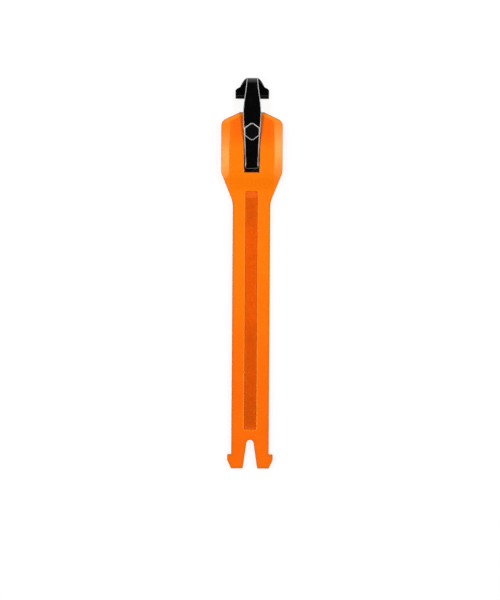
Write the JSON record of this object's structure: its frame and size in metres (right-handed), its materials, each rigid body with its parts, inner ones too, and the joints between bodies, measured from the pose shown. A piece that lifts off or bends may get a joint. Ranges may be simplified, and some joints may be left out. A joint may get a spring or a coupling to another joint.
{
  "type": "boot buckle strap",
  "caption": "Moulded plastic boot strap: a toothed blade with a forked, barbed tail and a thick paddle carrying a hinged, arched arm that ends in a winged hook.",
  "frame": {"origin": "on the strap's flat back face, straight under the middle of the hinge axis", "axes": "+X across the strap along the hinge axis, +Y along the strap from the tail towards the hook, +Z out of the front face"},
  "size_m": [0.0402, 0.2554, 0.0125],
  "materials": {
    "strap_plastic": "satin",
    "rack_plastic": "satin",
    "cradle_steel": "satin",
    "pin_steel": "satin",
    "arm_metal": "gloss",
    "pad_metal": "gloss"
  },
  "bodies": {
    "strap": {"strap_body": "strap_plastic", "ratchet_rack": "rack_plastic", "hinge_cradle": "cradle_steel", "hinge_pin": "pin_steel"},
    "arm": {"hook_arm": "arm_metal", "grip_pad": "pad_metal"}
  },
  "joints": [
    {"name": "arm_hinge", "type": "hinge", "parent": "strap", "child": "arm", "pos_m": [0, 0, 0.0046], "axis": [1, 0, 0], "range_deg": [0, 110]}
  ]
}
